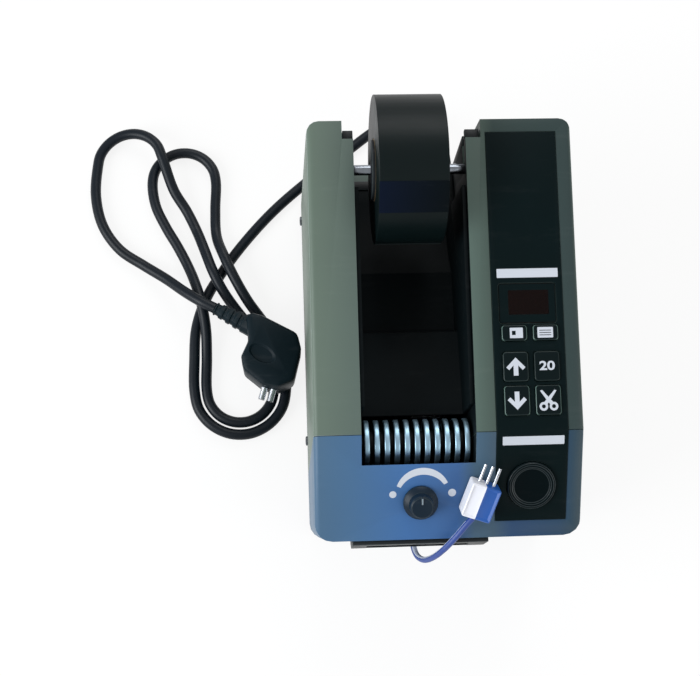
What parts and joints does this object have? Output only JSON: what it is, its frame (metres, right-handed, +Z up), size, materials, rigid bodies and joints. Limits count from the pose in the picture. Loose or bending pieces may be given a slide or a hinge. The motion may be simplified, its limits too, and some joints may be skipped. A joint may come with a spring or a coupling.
{
  "type": "electric tape dispenser",
  "caption": "Desk tape dispenser with a roll on a lift-out rod, a driven ringed roller, a swinging blade and a sloping key panel.",
  "frame": {"origin": "on the surface it stands on, under the middle of its length and width without the cords", "axes": "+Z up, +Y to the rear, +X to the right seen from the front"},
  "size_m": [0.2483, 0.2696, 0.1696],
  "materials": {
    "housing_grey": "smooth, slightly shiny moulded plastic",
    "black_plastic": "fine-grained moulded plastic",
    "panel_dark": "printed sheet",
    "button_black": "smooth",
    "window_red": "dark tinted, shiny",
    "steel": "fine brushed",
    "chrome_rod": "polished",
    "roller_pale": "turned, satin",
    "rubber_black": "dull",
    "gear_white": "moulded",
    "board_green": "solder mask",
    "tape_dark": "wound tape, satin",
    "core_card": "wound card",
    "hub_dark": "moulded",
    "cord_black": "smooth sheath",
    "plug_pale": "moulded"
  },
  "bodies": {
    "case": {"base_plate": "steel", "foot_1": "rubber_black", "foot_2": "rubber_black", "foot_3": "rubber_black", "foot_4": "rubber_black", "left_housing": "housing_grey", "right_housing": "housing_grey", "front_cover": "housing_grey", "rear_cover": "housing_grey", "rear_frame": "black_plastic", "tape_tub": "black_plastic", "outlet_guard": "black_plastic", "control_panel": "panel_dark", "display_window": "window_red", "display_module": "black_plastic", "panel_board": "board_green", "button_switch": "board_green", "potentiometer": "steel", "left_bearing_plate": "steel", "right_bearing_plate": "steel", "motor_bracket": "steel", "feed_motor": "steel", "cutter_motor": "steel", "tape_chute": "black_plastic", "fixed_blade": "steel", "main_board": "board_green", "power_supply": "black_plastic", "cord_gland": "black_plastic", "switch_frame": "black_plastic", "main_cord": "cord_black", "main_plug": "black_plastic", "sensor_lead": "cord_black", "sensor_plug": "plug_pale"},
    "rod": {"roll_rod": "chrome_rod"},
    "tape": {"hub_left": "hub_dark", "hub_right": "hub_dark", "tape_core": "core_card", "tape_roll": "tape_dark"},
    "feeder": {"feed_shaft": "chrome_rod", "feed_roller": "roller_pale", "feed_gear": "gear_white"},
    "idler": {"idler_gear": "gear_white"},
    "motor_gear": {"motor_pinion": "gear_white"},
    "pinch": {"pinch_roller": "rubber_black"},
    "cutter": {"blade_carrier": "steel", "moving_blade": "steel"},
    "cutter_drive": {"cutter_pinion": "gear_white"},
    "knob": {"speed_knob": "button_black"},
    "start": {"start_button": "button_black"},
    "rocker": {"power_rocker": "black_plastic"},
    "key_stop_left": {"key_stop_left": "panel_dark"},
    "key_stop_right": {"key_stop_right": "panel_dark"},
    "key_length_up": {"key_length_up": "panel_dark"},
    "key_preset": {"key_preset": "panel_dark"},
    "key_length_down": {"key_length_down": "panel_dark"},
    "key_cut": {"key_cut": "panel_dark"}
  },
  "joints": [
    {"name": "rod_slide", "type": "slide", "parent": "case", "child": "rod", "axis": [0, 0.9903, 0.1392], "range_m": [0, 0.024]},
    {"name": "roll_spin", "type": "hinge", "parent": "rod", "child": "tape", "pos_m": [-0.0152, 0.06913, 0.13399], "axis": [1, 0, 0], "continuous": true},
    {"name": "feed_spin", "type": "hinge", "parent": "case", "child": "feeder", "pos_m": [0, -0.05849, 0.10402], "axis": [1, 0, 0], "continuous": true},
    {"name": "idler_spin", "type": "hinge", "parent": "case", "child": "idler", "pos_m": [0.021, -0.05097, 0.08335], "axis": [1, 0, 0], "continuous": true},
    {"name": "motor_spin", "type": "hinge", "parent": "case", "child": "motor_gear", "pos_m": [0.021, -0.05097, 0.06735], "axis": [1, 0, 0], "continuous": true},
    {"name": "pinch_spin", "type": "hinge", "parent": "case", "child": "pinch", "pos_m": [-0.015, -0.07356, 0.10668], "axis": [1, 0, 0], "continuous": true},
    {"name": "blade_swing", "type": "hinge", "parent": "case", "child": "cutter", "pos_m": [0, -0.07599, 0.087], "axis": [-1, 0, 0], "range_deg": [0, 24]},
    {"name": "cutter_drive_spin", "type": "hinge", "parent": "case", "child": "cutter_drive", "pos_m": [0.021, -0.07861, 0.05711], "axis": [-1, 0, 0], "range_deg": [-96, 0]},
    {"name": "knob_turn", "type": "hinge", "parent": "case", "child": "knob", "pos_m": [-0.0135, -0.08766, 0.1081], "axis": [0, -0.4756, 0.8796], "range_deg": [-110, 110]},
    {"name": "start_press", "type": "slide", "parent": "case", "child": "start", "axis": [0, 0.4756, -0.8796], "range_m": [0, 0.0018], "stiffness_N_per_m": 700, "springref_m": -0.0006},
    {"name": "rocker_tilt", "type": "hinge", "parent": "case", "child": "rocker", "pos_m": [-0.022, 0.10018, 0.028], "axis": [1, 0, 0], "range_deg": [-14, 0]},
    {"name": "key_stop_left_press", "type": "slide", "parent": "case", "child": "key_stop_left", "axis": [0, 0.1392, -0.9903], "range_m": [0, 0.0008], "stiffness_N_per_m": 900, "springref_m": -0.0005},
    {"name": "key_stop_right_press", "type": "slide", "parent": "case", "child": "key_stop_right", "axis": [0, 0.1392, -0.9903], "range_m": [0, 0.0008], "stiffness_N_per_m": 900, "springref_m": -0.0005},
    {"name": "key_length_up_press", "type": "slide", "parent": "case", "child": "key_length_up", "axis": [0, 0.1392, -0.9903], "range_m": [0, 0.0008], "stiffness_N_per_m": 900, "springref_m": -0.0005},
    {"name": "key_preset_press", "type": "slide", "parent": "case", "child": "key_preset", "axis": [0, 0.1392, -0.9903], "range_m": [0, 0.0008], "stiffness_N_per_m": 900, "springref_m": -0.0005},
    {"name": "key_length_down_press", "type": "slide", "parent": "case", "child": "key_length_down", "axis": [0, 0.1392, -0.9903], "range_m": [0, 0.0008], "stiffness_N_per_m": 900, "springref_m": -0.0005},
    {"name": "key_cut_press", "type": "slide", "parent": "case", "child": "key_cut", "axis": [0, 0.1392, -0.9903], "range_m": [0, 0.0008], "stiffness_N_per_m": 900, "springref_m": -0.0005}
  ],
  "couplings": [
    {"joint": "idler_spin", "follows": "feed_spin", "ratio": -1.2},
    {"joint": "motor_spin", "follows": "feed_spin", "ratio": 2},
    {"joint": "pinch_spin", "follows": "feed_spin", "ratio": -2.75},
    {"joint": "cutter_drive_spin", "follows": "blade_swing", "ratio": -4}
  ]
}
